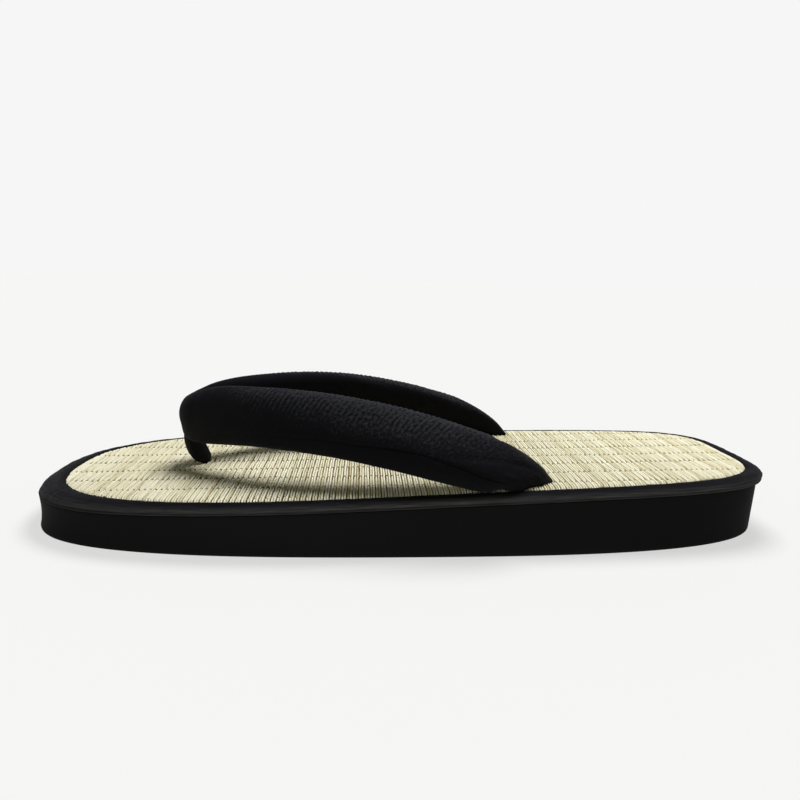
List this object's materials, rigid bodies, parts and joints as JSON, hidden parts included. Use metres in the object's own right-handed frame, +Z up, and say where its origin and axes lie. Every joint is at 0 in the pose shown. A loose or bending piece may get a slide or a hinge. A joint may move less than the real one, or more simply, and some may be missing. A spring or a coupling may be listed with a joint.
{
  "type": "thong sandal",
  "caption": "Flat thong sandal with a wedge foam sole, a bound rush mat to stand on, and padded cloth straps that meet at a toe post.",
  "frame": {"origin": "on the floor, under the middle of the sandal's bounding box", "axes": "+X to the toe, +Y to the wearer's left, +Z up"},
  "size_m": [0.2692, 0.096, 0.0508],
  "materials": {
    "foam": "black foam with a fine dull skin",
    "rush": "pale straw, dry rush strands with a faint sheen",
    "tape": "black woven cloth tape, dull",
    "strap_cloth": "black ribbed cloth, dull, slightly napped",
    "post_cloth": "black smooth cloth, dull"
  },
  "bodies": {
    "root": {"sole": "foam", "rush_mat": "rush", "edge_binding": "tape", "strap": "strap_cloth", "toe_post": "post_cloth"}
  },
  "joints": []
}
